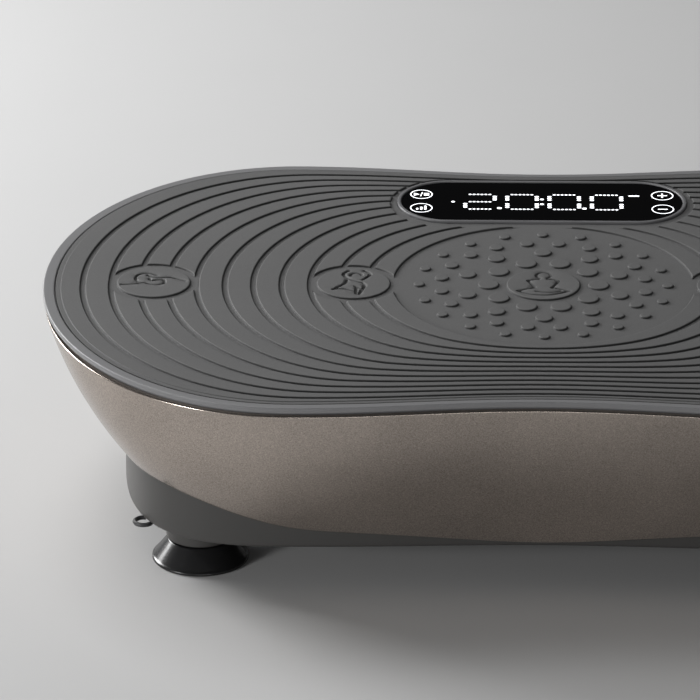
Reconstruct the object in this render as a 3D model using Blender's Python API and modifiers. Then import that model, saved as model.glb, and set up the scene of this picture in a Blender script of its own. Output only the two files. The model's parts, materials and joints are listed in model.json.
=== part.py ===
"""Oscillating vibration plate: a waisted standing deck that rocks on a low base.

Run with: blender --background --python part.py
Lengths below are in millimetres and are multiplied by MM when a mesh is made.
The origin is on the floor under the middle of the deck: +X along the deck,
-Y towards the user's side with the lower band loops, +Z up.
"""
import math

import bmesh
import bpy

MM = 0.001
COLUMNS = 72            # points round each deck, shell and tray outline
GAP = 0.3               # running gap between touching pieces

# Deck: half length, depth of the lobes, depth at the waist, place of the lobes
DECK_HALF_LENGTH = 265.0
LOBE_HALF_DEPTH = 157.0
WAIST_HALF_DEPTH = 147.4
LOBE_X = 132.0
DECK_TOP = 122.0
RIM_THICKNESS = 3.0
RIM_BAND = 6.0
DECK_UNDERSIDE = 112.0
SKIRT_GAP = 0.5
RECESS_DEPTH = 2.3
MAT_PROUD = 0.3

# Shell: its virtual lowest section, towards which it narrows
SHELL_TOP = 115.8
SHELL_LOW = 28.0
SHELL_WALL = 3.0
SHELL_LOW_HALF_LENGTH = 198.6
SHELL_LOW_LOBE = 121.1
SHELL_LOW_WAIST = 121.3
SHELL_LOW_LOBE_X = 88.4
SHELL_LOW_POWER = 3.28
SHELL_TAPER_SHARE = 0.41
SHELL_TAPER_POWER = 1.79
SHELL_CLEARANCE = 2.5
FLANGE_WIDTH = 9.0
FLANGE_THICKNESS = 3.0
SCREW_RADIUS = 1.9

# Base tray
BASE_HALF_LENGTH = 221.4
BASE_LOBE = 123.0
BASE_WAIST = 119.2
BASE_LOBE_X = 127.0
BASE_POWER = 3.2
BASE_BOTTOM = 26.0
BASE_WALL = 3.0
BASE_WALL_TOP = 66.0
BASE_FLOOR = BASE_BOTTOM + BASE_WALL

# Feet
FOOT_X = 180.0
FOOT_Y = 80.0
FOOT_RADIUS = 25.6
FOOT_TOP_RADIUS = 17.0
FOOT_HEIGHT = 12.0
BOSS_RADIUS = 18.0
BOSS_BOTTOM = 13.0
STUD_RADIUS = 4.0
STUD_HOLE = STUD_RADIUS + GAP

# Wire loops for exercise bands, under the base's front corners
LOOP_X = 209.5
LOOP_Y = -89.5
LOOP_RADIUS = 4.6
LOOP_WIRE = 1.2

# Display: a pill-shaped window behind the middle of the deck
DISPLAY_Y = 109.4
DISPLAY_HALF_LENGTH = 76.2
DISPLAY_RADIUS = 25.5
BEZEL_WIDTH = 2.4
LENS_TOP = 122.2
LENS_THICKNESS = 3.0
DISPLAY_SHELF = 2.0

# Rocking mechanism, with every shaft along Y
PIVOT_Z = 72.0
PIVOT_EAR_Y = 88.0
CRANK_X = 90.0
CRANK_Z = 60.0
ECCENTRICITY = 2.5
JOURNAL_RADIUS = 10.0
SHAFT_RADIUS = 6.0
ROD_EYE_Z = 90.0
ROD_PIN_RADIUS = 4.0
ROD_PIN_CLEARANCE = 7.7
MOTOR_X = -75.0
MOTOR_Z = 63.0
MOTOR_RADIUS = 31.0
MOTOR_FRONT = -40.0
MOTOR_BACK = 48.0
BELT_Y = -56.0
BELT_WIDTH = 8.0
CRANK_PULLEY_RADIUS = 24.0
MOTOR_PULLEY_RADIUS = 8.0
CHASSIS_THICKNESS = 2.0
CHASSIS_TOP = BASE_FLOOR + GAP + CHASSIS_THICKNESS
RAIL_Y = 24.0
RAIL_WIDTH = 10.0
RAIL_BOTTOM = 98.0
FRAME_TOP = DECK_UNDERSIDE - GAP
BAR_X = 180.0
BUMPER_Y = 60.0
BUMPER_RADIUS = 11.0
BUMPER_BOTTOM = 84.0
PILLAR_TOP = 78.0

# Power socket and switch in the right-hand end wall of the base
SOCKET_Y = -14.0
SOCKET_Z = 38.0
SWITCH_Y = 18.0
SWITCH_Z = 38.0
SWITCH_HALF_LENGTH = 9.5


# ---------------------------------------------------------------- helpers

def clear_scene():
    for old in list(bpy.data.objects):
        bpy.data.objects.remove(old, do_unlink=True)


def new_collection(name):
    collection = bpy.data.collections.new(name)
    bpy.context.scene.collection.children.link(collection)
    return collection


def material(name, colour, roughness, metallic=0.0):
    made = bpy.data.materials.new(name)
    made.use_nodes = True
    shader = made.node_tree.nodes["Principled BSDF"]
    shader.inputs["Base Color"].default_value = (*colour, 1.0)
    shader.inputs["Roughness"].default_value = roughness
    shader.inputs["Metallic"].default_value = metallic
    made.diffuse_color = (*colour, 1.0)
    return made


def place(name, mesh_data, origin, paint):
    """Link mesh_data, made round origin in millimetres, as a named part."""
    thing = bpy.data.objects.new(name, mesh_data)
    thing.location = [value * MM for value in origin]
    if paint is None:
        cutters.objects.link(thing)
        thing.hide_render = True
        thing.display_type = 'WIRE'
    else:
        parts.objects.link(thing)
        mesh_data.materials.append(paint)
    mesh_data.shade_smooth()
    mesh_data.set_sharp_from_angle(angle=math.radians(35))
    return thing


def from_bmesh(name, work, origin, paint):
    bmesh.ops.scale(work, vec=(MM, MM, MM), verts=work.verts)
    bmesh.ops.recalc_face_normals(work, faces=work.faces)
    data = bpy.data.meshes.new(name)
    work.to_mesh(data)
    work.free()
    return place(name, data, origin, paint)


def box(name, size, centre, paint, origin=(0, 0, 0), bevel=0.0):
    work = bmesh.new()
    bmesh.ops.create_cube(work, size=1.0)
    bmesh.ops.scale(work, vec=size, verts=work.verts)
    shift = [c - o for c, o in zip(centre, origin)]
    bmesh.ops.translate(work, vec=shift, verts=work.verts)
    made = from_bmesh(name, work, origin, paint)
    if bevel:
        add_bevel(made, bevel)
    return made


def add_bevel(thing, width, segments=1):
    edge = thing.modifiers.new("rounded edges", 'BEVEL')
    edge.width = width * MM
    edge.segments = segments
    edge.limit_method = 'ANGLE'


def cylinder(name, radius, start, end, paint, origin=(0, 0, 0), segments=24):
    """Round bar from start to end, which differ along one axis only."""
    axis = max(range(3), key=lambda i: abs(end[i] - start[i]))
    length = end[axis] - start[axis]
    work = bmesh.new()
    bmesh.ops.create_cone(work, cap_ends=True, segments=segments, radius1=radius,
                          radius2=radius, depth=length)
    for vert in work.verts:
        x, y, z = vert.co
        if axis == 0:
            vert.co = (z, y, -x)
        elif axis == 1:
            vert.co = (x, z, -y)
    middle = [(a + b) / 2 - o for a, b, o in zip(start, end, origin)]
    bmesh.ops.translate(work, vec=middle, verts=work.verts)
    return from_bmesh(name, work, origin, paint)


def turned(name, profile, paint, origin=(0, 0, 0), along_y=False, steps=24):
    """Body of revolution: profile is (radius, height) pairs down the outer side."""
    data = bpy.data.meshes.new(name)
    points = [(radius * MM, 0.0, height * MM) for radius, height in profile]
    edges = [(i, i + 1) for i in range(len(points) - 1)]
    if profile[0][0] > 0 and profile[-1][0] > 0:
        edges.append((len(points) - 1, 0))
    data.from_pydata(points, edges, [])
    made = place(name, data, origin, paint)
    screw = made.modifiers.new("turned", 'SCREW')
    screw.steps = steps
    screw.render_steps = steps
    screw.use_merge_vertices = True
    screw.merge_threshold = 0.00001
    screw.use_smooth_shade = False
    if along_y:
        made.rotation_euler = (-math.pi / 2, 0, 0)
    return made


def loft(name, rings, paint, origin=(0, 0, 0), looped=False):
    """Skin through rings of equal point counts, capped at both ends or looped."""
    work = bmesh.new()
    rows = []
    for ring in rings:
        rows.append([work.verts.new([p - o for p, o in zip(point, origin)]) for point in ring])
    count = len(rows[0])
    pairs = list(zip(rows, rows[1:]))
    if looped:
        pairs.append((rows[-1], rows[0]))
    for low, high in pairs:
        for i in range(count):
            j = (i + 1) % count
            work.faces.new((low[i], low[j], high[j], high[i]))
    if not looped:
        work.faces.new(list(reversed(rows[0])))
        work.faces.new(rows[-1])
    return from_bmesh(name, work, origin, paint)


def tube(name, points, radius, paint):
    """Insulated lead along a smooth curve through the given points."""
    path = smooth_path(points, radius)
    curve = bpy.data.curves.new(name, 'CURVE')
    curve.dimensions = '3D'
    curve.bevel_depth = radius * MM
    curve.bevel_resolution = 2
    curve.use_fill_caps = True
    spline = curve.splines.new('POLY')
    spline.points.add(len(path) - 1)
    for point, place_mm in zip(spline.points, path):
        point.co = (*[value * MM for value in place_mm], 1.0)
    guide = bpy.data.objects.new(name + "_guide", curve)
    parts.objects.link(guide)
    bpy.context.view_layer.update()
    graph = bpy.context.evaluated_depsgraph_get()
    data = bpy.data.meshes.new_from_object(guide.evaluated_get(graph))
    bpy.data.objects.remove(guide, do_unlink=True)
    data.materials.clear()
    work = bmesh.new()
    work.from_mesh(data)
    bmesh.ops.remove_doubles(work, verts=work.verts, dist=0.00001)
    bmesh.ops.recalc_face_normals(work, faces=work.faces)
    work.to_mesh(data)
    work.free()
    return place(name, data, (0, 0, 0), paint)


def smooth_path(points, radius):
    """Points of a Catmull-Rom curve, about three diameters apart."""
    padded = [points[0], *points, points[-1]]
    path = []
    for a, b, c, d in zip(padded, padded[1:], padded[2:], padded[3:]):
        steps = max(2, round(math.dist(b, c) / (6 * radius)))
        for step in range(steps):
            t = step / steps
            path.append([0.5 * (2 * q + (r - p) * t + (2 * p - 5 * q + 4 * r - s) * t * t
                                + (3 * q - p - 3 * r + s) * t ** 3)
                         for p, q, r, s in zip(a, b, c, d)])
    path.append(points[-1])
    return path


def combine(thing, tool, operation='DIFFERENCE'):
    step = thing.modifiers.new(operation.lower(), 'BOOLEAN')
    step.operation = operation
    step.object = tool
    step.solver = 'EXACT'
    return thing


def join(thing, tool):
    return combine(thing, tool, 'UNION')


# ---------------------------------------------------------------- outlines

def outline(half_length, lobe, waist, lobe_x, power=2.0, columns=COLUMNS):
    """Plan of the plate: two rounded lobes joined by a slightly narrower waist.

    The points run anticlockwise. Each end is a quarter-and-quarter superellipse
    about (+-lobe_x, 0) and each long side is a cosine dip to the waist.
    """
    side = columns // 6
    end = columns // 2 - side
    points = []
    for sign in (1, -1):
        for i in range(end):
            angle = -math.pi / 2 + math.pi * i / end
            cosine = max(0.0, math.cos(angle)) ** (2 / power)
            sine = math.copysign(abs(math.sin(angle)) ** (2 / power), math.sin(angle))
            points.append((sign * (lobe_x + (half_length - lobe_x) * cosine), sign * lobe * sine))
        for i in range(side):
            x = lobe_x * (1 - 2 * i / side)
            dip = (1 + math.cos(math.pi * x / lobe_x)) / 2
            points.append((sign * x, sign * (lobe - (lobe - waist) * dip)))
    return points


def deck_outline(inset):
    return outline(DECK_HALF_LENGTH - inset, LOBE_HALF_DEPTH - inset * 0.85,
                   WAIST_HALF_DEPTH - inset * 0.6, LOBE_X)


def base_outline(inset, columns=COLUMNS):
    return outline(BASE_HALF_LENGTH - inset, BASE_LOBE - inset, BASE_WAIST - inset,
                   BASE_LOBE_X, BASE_POWER, columns)


def shell_outline(z, inset):
    """Shell section at height z: it narrows slowly at first, then faster."""
    depth = (DECK_TOP - RIM_THICKNESS - z) / (DECK_TOP - RIM_THICKNESS - SHELL_LOW)
    depth = max(depth, 0.0)
    taper = SHELL_TAPER_SHARE * depth + (1 - SHELL_TAPER_SHARE) * depth ** SHELL_TAPER_POWER

    def blend(top, low):
        return top + (low - top) * taper

    return outline(blend(DECK_HALF_LENGTH + 0.4, SHELL_LOW_HALF_LENGTH) - inset,
                   blend(LOBE_HALF_DEPTH - 2.0, SHELL_LOW_LOBE) - inset,
                   blend(WAIST_HALF_DEPTH - 1.9, SHELL_LOW_WAIST) - inset,
                   blend(LOBE_X, SHELL_LOW_LOBE_X),
                   2.0 + (SHELL_LOW_POWER - 2.0) * depth)


def pill(half_length, radius, z, columns=36):
    """Stadium round the display's centre."""
    centre = half_length - radius
    half = columns // 2
    points = []
    for sign in (1, -1):
        for i in range(half):
            angle = -math.pi / 2 + math.pi * i / (half - 1)
            points.append((sign * (centre + radius * math.cos(angle)),
                           DISPLAY_Y + sign * radius * math.sin(angle), z))
    return points


def at(points, z):
    return [(x, y, z) for x, y in points]


def pill_block(name, grow, low, high, paint):
    rings = [pill(DISPLAY_HALF_LENGTH + grow, DISPLAY_RADIUS + grow, z) for z in (low, high)]
    return loft(name, rings, paint)


# ---------------------------------------------------------------- deck and display

def build_deck_plate():
    """Rigid deck with an overhanging rim and a shallow tray for the mat."""
    bottom_of_rim = DECK_TOP - RIM_THICKNESS
    recess = DECK_TOP - RECESS_DEPTH
    skirt = shell_outline(DECK_UNDERSIDE, SHELL_WALL + SKIRT_GAP)
    rings = [at(skirt, DECK_UNDERSIDE),
             at(skirt, bottom_of_rim),
             at(deck_outline(0.6), bottom_of_rim),
             at(deck_outline(0.0), bottom_of_rim + 0.6),
             at(deck_outline(0.0), DECK_TOP - 0.8),
             at(deck_outline(0.8), DECK_TOP),
             at(deck_outline(RIM_BAND), DECK_TOP),
             at(deck_outline(RIM_BAND), recess)]
    deck = loft("deck_plate", rings, DECK_GREY)
    window = pill_block("display_window_cutter", BEZEL_WIDTH + GAP, DECK_UNDERSIDE - 5, DECK_TOP + 5, None)
    combine(deck, window)
    for tag, x, y in screw_places():
        combine(deck, cylinder(f"deck_screw_hole_{tag}", SCREW_RADIUS + GAP, (x, y, DECK_UNDERSIDE - 3),
                               (x, y, DECK_UNDERSIDE + 5), None, segments=12))
    return deck


def build_tread_mat():
    low = DECK_TOP - RECESS_DEPTH + GAP
    top = DECK_TOP + MAT_PROUD
    rings = [at(deck_outline(RIM_BAND + 0.6), low),
             at(deck_outline(RIM_BAND + 0.6), top - 0.6),
             at(deck_outline(RIM_BAND + 1.2), top)]
    mat = loft("tread_mat", rings, MAT_RUBBER)
    hole = pill_block("mat_window_cutter", BEZEL_WIDTH + GAP, low - 5, top + 5, None)
    return combine(mat, hole)


def build_display():
    """Bezel, lens, circuit board, digit block and back cover of the display."""
    shelf = LENS_TOP - LENS_THICKNESS - 2 * GAP
    back = DECK_UNDERSIDE - 5.0
    length = DISPLAY_HALF_LENGTH
    radius = DISPLAY_RADIUS
    steps = ((BEZEL_WIDTH, back + 4), (BEZEL_WIDTH, LENS_TOP + 0.2), (BEZEL_WIDTH - 0.5, LENS_TOP + 0.5),
             (GAP, LENS_TOP + 0.5), (GAP, shelf), (-DISPLAY_SHELF, shelf), (-DISPLAY_SHELF, back + 4))
    loft("display_bezel", [pill(length + grow, radius + grow, z) for grow, z in steps],
         TRIM_GREY, looped=True)
    pill_block("display_lens", 0.0, LENS_TOP - LENS_THICKNESS, LENS_TOP, LENS_BLACK)
    board_top = DECK_UNDERSIDE + 3.0
    box("display_board", (126, 36, 1.6), (0, DISPLAY_Y, board_top - 0.8), BOARD_GREEN)
    box("digit_block", (100, 24, 3.0), (0, DISPLAY_Y, board_top + GAP + 1.5), DIGIT_WHITE, bevel=0.5)
    cover = pill_block("display_cover", BEZEL_WIDTH, back, back + 4 - GAP, BLACK_PLASTIC)
    slot = box("display_cover_slot", (16, 8, 20), (30, DISPLAY_Y - 10, back), None)
    return combine(cover, slot)


# ---------------------------------------------------------------- shell

def lowest_clear(inset):
    """Heights, column by column, where the shell meets the base wall's clearance."""
    limits = []
    wall = base_outline(-SHELL_CLEARANCE, 720)
    for column in range(COLUMNS):
        low, high = SHELL_LOW, SHELL_TOP - 20
        for _ in range(30):
            middle = (low + high) / 2
            x, y = shell_outline(middle, inset)[column]
            if outside(x, y, wall):
                high = middle
            else:
                low = middle
        limits.append(high)
    return limits


def outside(x, y, wall):
    """True if (x, y) lies beyond the closed outline wall, seen from the middle."""
    angle = math.atan2(y, x)
    nearest = min(wall, key=lambda p: abs(math.remainder(math.atan2(p[1], p[0]) - angle, math.tau)))
    return math.hypot(x, y) > math.hypot(*nearest)


def shell_row(limits, share, inset):
    """One row of points: share 0 is the lower edge, 1 the top edge."""
    ring = []
    for column, limit in enumerate(limits):
        z = limit + (SHELL_TOP - limit) * share
        x, y = shell_outline(z, inset)[column]
        ring.append((x, y, z))
    return ring


def build_side_shell():
    """Tapered skirt round the deck, with a flange that bolts up under the deck."""
    outer_limits = lowest_clear(0.0)
    inner_limits = lowest_clear(SHELL_WALL)
    outer = [shell_row(outer_limits, share / 5, 0.0) for share in range(6)]
    flange_top = DECK_UNDERSIDE - 2 * GAP
    flange_low = flange_top - FLANGE_THICKNESS
    inner = [at(shell_outline(SHELL_TOP, SHELL_WALL), SHELL_TOP),
             at(shell_outline(flange_top, SHELL_WALL), flange_top),
             at(shell_outline(flange_top, SHELL_WALL + FLANGE_WIDTH), flange_top),
             at(shell_outline(flange_low, SHELL_WALL + FLANGE_WIDTH), flange_low),
             at(shell_outline(flange_low, SHELL_WALL), flange_low)]
    inner += [shell_row(inner_limits, share, SHELL_WALL) for share in (0.6, 0.3, 0.0)]
    shell = loft("side_shell", outer + inner, SHELL_CHAMPAGNE, looped=True)
    half_length = DISPLAY_HALF_LENGTH + BEZEL_WIDTH + 3
    near, far = 110.0, WAIST_HALF_DEPTH - 1.9 - SHELL_WALL - 2.0
    combine(shell, box("flange_notch", (2 * half_length, far - near, 3 * FLANGE_THICKNESS),
                       (0, (near + far) / 2, flange_top), None))
    for tag, x, y in screw_places():
        combine(shell, cylinder(f"flange_hole_{tag}", SCREW_RADIUS + GAP, (x, y, flange_low - 3),
                                (x, y, flange_top + 3), None, segments=12))
    return shell


def screw_places():
    """Four points along the middle of the shell's flange, one in each quarter."""
    line = shell_outline(DECK_UNDERSIDE, SHELL_WALL + FLANGE_WIDTH * 0.55)
    places = []
    for tag, column in (("front_right", COLUMNS // 12), ("rear_right", COLUMNS // 4),
                        ("rear_left", COLUMNS * 7 // 12), ("front_left", COLUMNS * 3 // 4)):
        places.append((tag, *line[column]))
    return places


def build_shell_screws():
    """Screws that hold the shell's flange up under the deck."""
    low = DECK_UNDERSIDE - 2 * GAP - FLANGE_THICKNESS - GAP
    for tag, x, y in screw_places():
        profile = [(0, DECK_UNDERSIDE + 4), (SCREW_RADIUS, DECK_UNDERSIDE + 4), (SCREW_RADIUS, low),
                   (2 * SCREW_RADIUS, low), (2 * SCREW_RADIUS - 0.8, low - 2.4), (0, low - 2.4)]
        turned(f"shell_screw_{tag}", profile, STEEL, (x, y, 0), steps=12)


# ---------------------------------------------------------------- base

def build_base_tray():
    rings = [at(base_outline(2.0), BASE_BOTTOM),
             at(base_outline(0.0), BASE_BOTTOM + 2.0),
             at(base_outline(0.0), BASE_WALL_TOP),
             at(base_outline(BASE_WALL), BASE_WALL_TOP),
             at(base_outline(BASE_WALL), BASE_FLOOR)]
    tray = loft("base_tray", rings, BASE_GREY)
    for side, x in (("left", -1), ("right", 1)):
        for end, y in (("front", -1), ("rear", 1)):
            tag = f"{end}_{side}"
            foot = (x * FOOT_X, y * FOOT_Y)
            post = (x * BAR_X, y * BUMPER_Y)
            join(tray, cylinder(f"boss_{tag}", BOSS_RADIUS, (*foot, BOSS_BOTTOM), (*foot, BASE_FLOOR - 1), None))
            join(tray, cylinder(f"pillar_{tag}", 12.0, (*post, BASE_FLOOR - 1), (*post, PILLAR_TOP), None,
                                segments=24))
            combine(tray, cylinder(f"stud_hole_{tag}", STUD_HOLE, (*foot, BOSS_BOTTOM - 2),
                                   (*foot, BASE_FLOOR + 2), None, segments=24))
    wall_x = BASE_HALF_LENGTH
    combine(tray, box("socket_hole", (20, 22 + 2 * GAP, 13 + 2 * GAP), (wall_x, SOCKET_Y, SOCKET_Z), None))
    combine(tray, box("switch_hole", (20, 2 * SWITCH_HALF_LENGTH + 2 * GAP, 13 + 2 * GAP),
                      (wall_x, SWITCH_Y, SWITCH_Z), None))
    return tray


def build_foot(tag, x, y):
    """Rubber suction foot, hollow underneath, on a threaded stud."""
    profile = [(STUD_HOLE, FOOT_HEIGHT), (FOOT_TOP_RADIUS, FOOT_HEIGHT), (FOOT_RADIUS, 1.6),
               (FOOT_RADIUS, 0.0), (FOOT_RADIUS - 4.0, 0.0), (12.0, 4.0), (STUD_HOLE, 4.5)]
    turned(f"foot_{tag}", profile, FOOT_RUBBER, (x, y, 0), steps=28)
    head = 6.5
    stud = [(0, BASE_FLOOR + 8), (STUD_RADIUS, BASE_FLOOR + 8), (STUD_RADIUS, BASE_FLOOR + 6),
            (head, BASE_FLOOR + 6), (head, BASE_FLOOR + GAP), (STUD_RADIUS, BASE_FLOOR + GAP),
            (STUD_RADIUS, 5.0), (0, 5.0)]
    turned(f"foot_stud_{tag}", stud, STEEL, (x, y, 0), steps=12)


def build_band_loop(tag, side):
    """Wire staple for an exercise band, moulded into the base's front corner."""
    centre = (side * LOOP_X, LOOP_Y)
    away = math.radians(-27 if side > 0 else -153)
    points = []
    for turn in range(-130, 131, 26):
        angle = away + math.radians(turn)
        points.append((centre[0] + LOOP_RADIUS * math.cos(angle),
                       centre[1] + LOOP_RADIUS * math.sin(angle), BASE_BOTTOM - GAP - LOOP_WIRE))
    return tube(f"band_loop_{tag}", points, LOOP_WIRE, STEEL)


def build_chassis():
    """Steel plate on the tray floor that carries the drive."""
    size = (272, 190, CHASSIS_THICKNESS)
    plate = box("chassis_plate", size, (0, 0, CHASSIS_TOP - CHASSIS_THICKNESS / 2), STEEL, bevel=0.4)
    opening = box("chassis_opening", (60, 90, 10), (0, 0, CHASSIS_TOP), None)
    return combine(plate, opening)


def build_pivot(tag, side):
    """Bracket with a bearing, and the pin the rocker frame swings on."""
    y = side * PIVOT_EAR_Y
    inner = y - side * 9.0
    bracket = box(f"pivot_bracket_{tag}", (46, 8, PIVOT_Z + 16 - CHASSIS_TOP - GAP),
                  (0, inner, (PIVOT_Z + 16 + CHASSIS_TOP + GAP) / 2), PAINTED_STEEL, bevel=0.8)
    join(bracket, box(f"bracket_foot_{tag}", (46, 20, 4), (0, inner - side * 8, CHASSIS_TOP + GAP + 2), None))
    combine(bracket, cylinder(f"bracket_bore_{tag}", 13 + GAP, (0, inner - 8, PIVOT_Z),
                              (0, inner + 8, PIVOT_Z), None))
    ring = [(13, 4), (13, -4), (7 + GAP, -4), (7 + GAP, 4)]
    turned(f"pivot_bearing_{tag}", ring, BRIGHT_STEEL, (0, inner, PIVOT_Z), along_y=True)
    start, end = sorted((inner - side * 6, y + side * 6))
    cylinder(f"pivot_pin_{tag}", 7.0, (0, start, PIVOT_Z), (0, end, PIVOT_Z), BRIGHT_STEEL,
             origin=(0, y, PIVOT_Z))


# ---------------------------------------------------------------- drive

def build_motor():
    body = cylinder("motor_body", MOTOR_RADIUS, (MOTOR_X, MOTOR_FRONT, MOTOR_Z),
                    (MOTOR_X, MOTOR_BACK, MOTOR_Z), MOTOR_BLACK, segments=32)
    add_bevel(body, 2.0, 2)
    join(body, cylinder("motor_end_boss", 11, (MOTOR_X, MOTOR_BACK - 2, MOTOR_Z),
                        (MOTOR_X, MOTOR_BACK + 6, MOTOR_Z), None))
    combine(body, cylinder("motor_shaft_bore", 3 + GAP, (MOTOR_X, MOTOR_FRONT - 4, MOTOR_Z),
                           (MOTOR_X, MOTOR_FRONT + 30, MOTOR_Z), None))
    front = MOTOR_FRONT - GAP
    plate = box("motor_bracket", (66, 3, MOTOR_Z + 33 - CHASSIS_TOP - GAP),
                (MOTOR_X, front - 1.5, (MOTOR_Z + 33 + CHASSIS_TOP + GAP) / 2), PAINTED_STEEL, bevel=0.5)
    join(plate, box("motor_bracket_foot", (66, 14, 3), (MOTOR_X, front - 8.5, CHASSIS_TOP + GAP + 1.5), None))
    combine(plate, cylinder("motor_bracket_bore", 12, (MOTOR_X, front - 8, MOTOR_Z),
                            (MOTOR_X, front + 5, MOTOR_Z), None))
    axis = (MOTOR_X, BELT_Y, MOTOR_Z)
    cylinder("motor_shaft", 3.0, (MOTOR_X, BELT_Y - 7, MOTOR_Z), (MOTOR_X, MOTOR_FRONT + 28, MOTOR_Z),
             BRIGHT_STEEL, origin=axis, segments=16)
    pulley("motor_pulley", MOTOR_PULLEY_RADIUS, 3.0 + GAP, axis)


def pulley(name, radius, bore, axis):
    half = BELT_WIDTH / 2 + 0.6
    profile = [(bore, half + 1.5), (radius + 2.5, half + 1.5), (radius + 2.5, half), (radius, half),
               (radius, -half), (radius + 2.5, -half), (radius + 2.5, -half - 1.5), (bore, -half - 1.5)]
    return turned(name, profile, PULLEY_METAL, axis, along_y=True, steps=28)


def belt_ring(small, large, y):
    """Outline of a belt round two wheels: two arcs joined by their common tangents."""
    gap_x = CRANK_X - MOTOR_X
    gap_z = CRANK_Z - MOTOR_Z
    distance = math.hypot(gap_x, gap_z)
    along = math.atan2(gap_z, gap_x)
    lean = math.asin((large - small) / distance)
    ring = []
    steps = 16
    for centre, radius, start, sweep in (
            ((CRANK_X, CRANK_Z), large, along - math.pi / 2 - lean, math.pi + 2 * lean),
            ((MOTOR_X, MOTOR_Z), small, along + math.pi / 2 + lean, math.pi - 2 * lean)):
        for i in range(steps + 1):
            angle = start + sweep * i / steps
            ring.append((centre[0] + radius * math.cos(angle), y, centre[1] + radius * math.sin(angle)))
    return ring


def build_belt():
    low, high = BELT_Y - BELT_WIDTH / 2, BELT_Y + BELT_WIDTH / 2
    inner = (MOTOR_PULLEY_RADIUS + GAP, CRANK_PULLEY_RADIUS + GAP)
    outer = (inner[0] + 1.8, inner[1] + 1.8)
    rings = [belt_ring(*inner, low), belt_ring(*outer, low), belt_ring(*outer, high), belt_ring(*inner, high)]
    return loft("drive_belt", rings, BELT_RUBBER, looped=True)


def build_crank():
    """Crankshaft with an eccentric journal, its two bearing blocks and its pulley."""
    axis = (CRANK_X, 0, CRANK_Z)
    journal_x = CRANK_X + ECCENTRICITY
    shaft = cylinder("crank_shaft", SHAFT_RADIUS, (CRANK_X, BELT_Y - 8, CRANK_Z), (CRANK_X, 36, CRANK_Z),
                     BRIGHT_STEEL, origin=axis, segments=24)
    join(shaft, cylinder("crank_journal", JOURNAL_RADIUS, (journal_x, -8, CRANK_Z), (journal_x, 8, CRANK_Z),
                         None, segments=32))
    pulley("crank_pulley", CRANK_PULLEY_RADIUS, SHAFT_RADIUS + GAP, (CRANK_X, BELT_Y, CRANK_Z))
    for tag, y in (("front", -28.0), ("rear", 28.0)):
        top = CRANK_Z + 16
        block = box(f"crank_block_{tag}", (40, 12, top - CHASSIS_TOP - GAP),
                    (CRANK_X, y, (top + CHASSIS_TOP + GAP) / 2), PAINTED_STEEL, bevel=1.0)
        combine(block, cylinder(f"crank_bore_{tag}", 12 + GAP, (CRANK_X, y - 9, CRANK_Z),
                                (CRANK_X, y + 9, CRANK_Z), None))
        ring = [(12, 4.5), (12, -4.5), (SHAFT_RADIUS + GAP, -4.5), (SHAFT_RADIUS + GAP, 4.5)]
        turned(f"crank_bearing_{tag}", ring, BRIGHT_STEEL, (CRANK_X, y, CRANK_Z), along_y=True)


def build_rod():
    """Connecting rod: big end on the journal, wide eye round the frame's pin."""
    journal = (CRANK_X + ECCENTRICITY, 0, CRANK_Z)
    eye = ROD_PIN_RADIUS + ROD_PIN_CLEARANCE
    rod = cylinder("connecting_rod", 20, (journal[0], -6, CRANK_Z), (journal[0], 6, CRANK_Z),
                   CAST_METAL, origin=journal)
    join(rod, cylinder("rod_eye", eye + 4, (CRANK_X, -6, ROD_EYE_Z), (CRANK_X, 6, ROD_EYE_Z), None))
    combine(rod, cylinder("rod_big_bore", 15 + GAP, (journal[0], -9, CRANK_Z), (journal[0], 9, CRANK_Z), None))
    combine(rod, cylinder("rod_eye_bore", eye, (CRANK_X, -9, ROD_EYE_Z), (CRANK_X, 9, ROD_EYE_Z), None))
    ring = [(15, 6), (15, -6), (JOURNAL_RADIUS + GAP, -6), (JOURNAL_RADIUS + GAP, 6)]
    turned("rod_bearing", ring, BRIGHT_STEEL, journal, along_y=True)


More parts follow.
